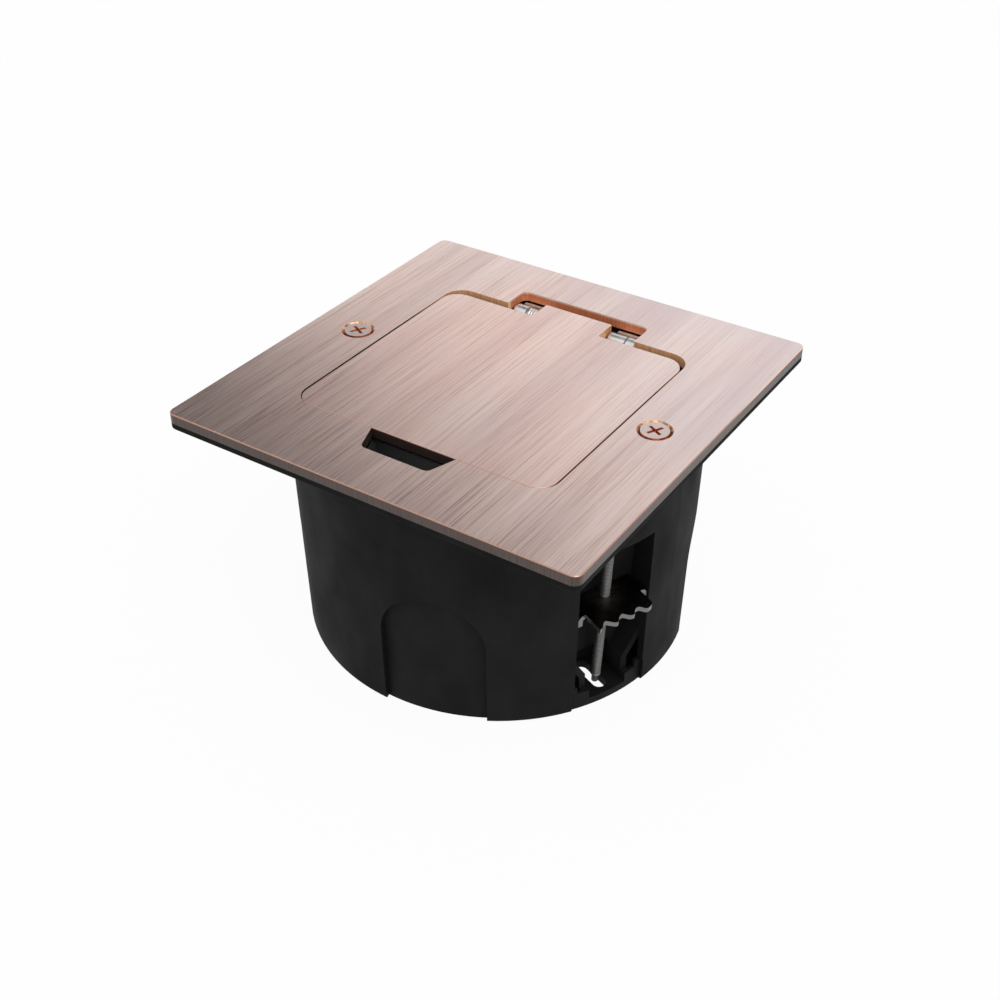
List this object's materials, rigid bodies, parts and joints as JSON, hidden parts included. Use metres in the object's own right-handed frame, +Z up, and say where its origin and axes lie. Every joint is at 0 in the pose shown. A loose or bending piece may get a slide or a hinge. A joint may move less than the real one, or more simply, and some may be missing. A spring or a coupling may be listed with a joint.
{
  "type": "floor socket box",
  "caption": "Square bronze floor plate with a flush hinged lid over an earthed socket, on a black drafted flush box held by screw-drawn claws.",
  "frame": {"origin": "centre of the flush box's base, on the axis of the cup and the centre of the plate", "axes": "+Z up out of the floor, +Y to the hinge of the lid, +X to the right-hand cover screw"},
  "size_m": [0.13, 0.13, 0.078],
  "materials": {
    "plate_bronze": "bronze-plated, fine straight brushing",
    "gasket_rubber": "matt",
    "hinge_steel": "bright zinc plate",
    "spring_steel": "bright drawn",
    "screw_steel": "zinc plate",
    "cover_screw_steel": "bronze tinted, turned",
    "claw_steel": "dark zinc, glossy",
    "cup_plastic": "moulded, low sheen",
    "carrier_plastic": "moulded, matt",
    "socket_plastic": "moulded, satin",
    "shutter_plastic": "moulded",
    "contact_brass": "bright"
  },
  "bodies": {
    "box": {"cover_plate": "plate_bronze", "plate_gasket": "gasket_rubber", "lid_seal": "gasket_rubber", "hinge_bracket": "hinge_steel", "hinge_pin": "hinge_steel", "hinge_pin_clip": "spring_steel", "hinge_spring": "spring_steel", "shutter_spring": "spring_steel", "hinge_bracket_screws": "screw_steel", "frame_screws": "screw_steel", "cover_screws": "cover_screw_steel", "screw_inserts": "contact_brass", "carrier_frame": "carrier_plastic", "flush_box": "cup_plastic", "socket_face": "socket_plastic", "socket_body": "socket_plastic", "socket_screw": "screw_steel", "contact_right": "contact_brass", "contact_left": "contact_brass", "earth_strap": "spring_steel", "terminal_screws": "screw_steel"},
    "lid": {"lid": "plate_bronze", "hinge_leaf": "hinge_steel", "hinge_leaf_screws": "screw_steel"},
    "right_claw": {"claw_right": "claw_steel"},
    "left_claw": {"claw_left": "claw_steel"},
    "right_claw_screw": {"claw_screw_right": "screw_steel", "claw_clip_right": "spring_steel"},
    "left_claw_screw": {"claw_screw_left": "screw_steel", "claw_clip_left": "spring_steel"},
    "shutter": {"shutter": "shutter_plastic"}
  },
  "joints": [
    {"name": "lid_hinge", "type": "hinge", "parent": "box", "child": "lid", "pos_m": [0, 0.043, 0.0734], "axis": [-1, 0, 0], "range_deg": [0, 98], "stiffness_Nm_per_rad": 0.02, "springref_deg": -34.38, "deforming": ["hinge_spring"]},
    {"name": "right_claw_screw_turn", "type": "hinge", "parent": "box", "child": "right_claw_screw", "pos_m": [0.04877, -0.021, 0.0357], "axis": [-0.0641, 0.0276, -0.9976], "range_deg": [-8640, 11520]},
    {"name": "right_claw_travel", "type": "slide", "parent": "box", "child": "right_claw", "axis": [0.0641, -0.0276, 0.9976], "range_m": [-0.012, 0.016]},
    {"name": "left_claw_screw_turn", "type": "hinge", "parent": "box", "child": "left_claw_screw", "pos_m": [-0.04877, 0.021, 0.0357], "axis": [0.0641, -0.0276, -0.9976], "range_deg": [-8640, 11520]},
    {"name": "left_claw_travel", "type": "slide", "parent": "box", "child": "left_claw", "axis": [-0.0641, 0.0276, 0.9976], "range_m": [-0.012, 0.016]},
    {"name": "shutter_turn", "type": "hinge", "parent": "box", "child": "shutter", "pos_m": [0, -0.0029, 0.0434], "axis": [0, 0, 1], "range_deg": [0, 42], "stiffness_Nm_per_rad": 0.0008, "springref_deg": -22.92, "deforming": ["shutter_spring"]}
  ],
  "couplings": [
    {"joint": "right_claw_screw_turn", "follows": "right_claw_travel", "rad_per_m": 12566},
    {"joint": "left_claw_screw_turn", "follows": "left_claw_travel", "rad_per_m": 12566}
  ]
}
